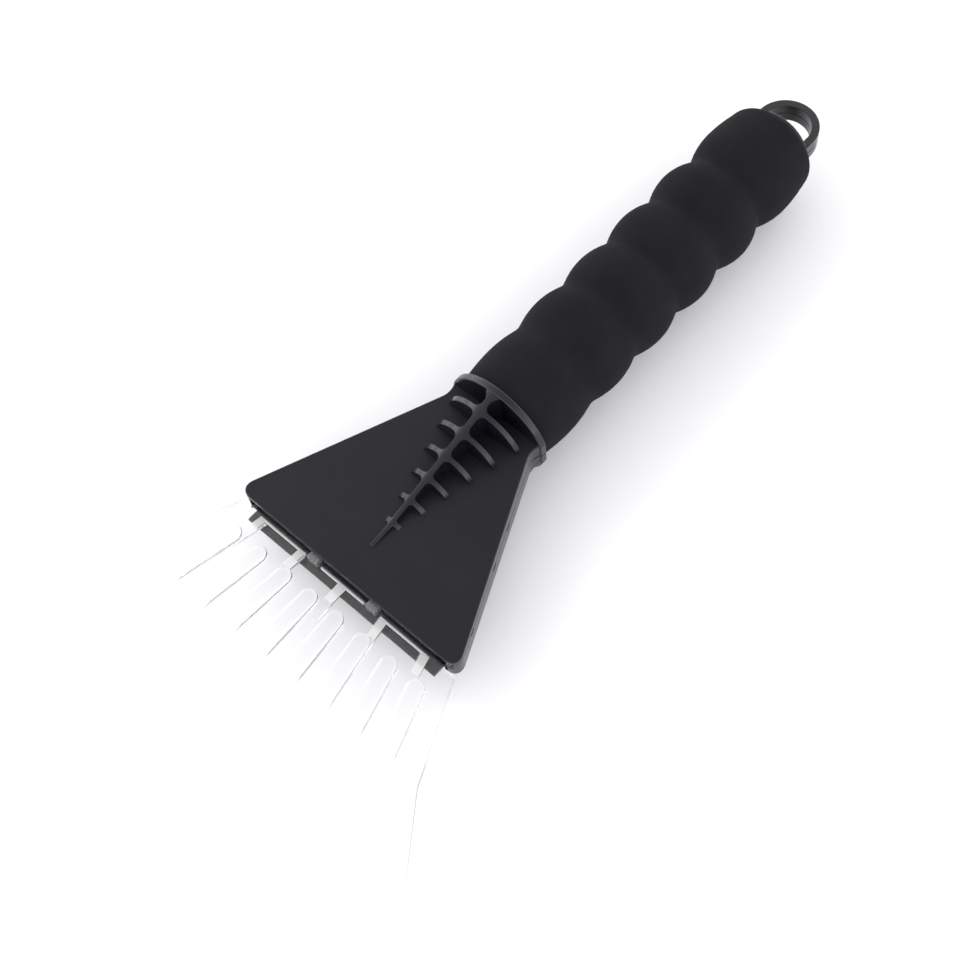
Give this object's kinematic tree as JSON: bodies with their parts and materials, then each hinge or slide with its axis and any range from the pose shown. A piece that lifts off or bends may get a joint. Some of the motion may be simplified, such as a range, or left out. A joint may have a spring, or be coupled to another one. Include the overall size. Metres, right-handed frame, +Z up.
{
  "type": "windshield ice scraper",
  "caption": "Hand ice scraper: flared clear blade clamped in a split head, ribbed backbone, bulged foam grip, hang ring.",
  "frame": {"origin": "on the surface that the scraper lies on, under the middle of its length and width", "axes": "+Y from the scraping edge to the hang ring, +X across the blade, +Z up through the ribbed backbone"},
  "size_m": [0.133, 0.255, 0.0333],
  "materials": {
    "black_abs": "satin, fine moulded grain",
    "clear_polycarbonate": "clear, polished",
    "black_foam": "matte closed-cell foam",
    "zinc_plated_steel": "zinc plated"
  },
  "bodies": {
    "root": {"upper_shell": "black_abs", "lower_shell": "black_abs", "scraper_blade": "clear_polycarbonate", "foam_grip": "black_foam", "clamp_screw_left": "zinc_plated_steel", "clamp_screw_right": "zinc_plated_steel", "neck_screw": "zinc_plated_steel"}
  },
  "joints": []
}
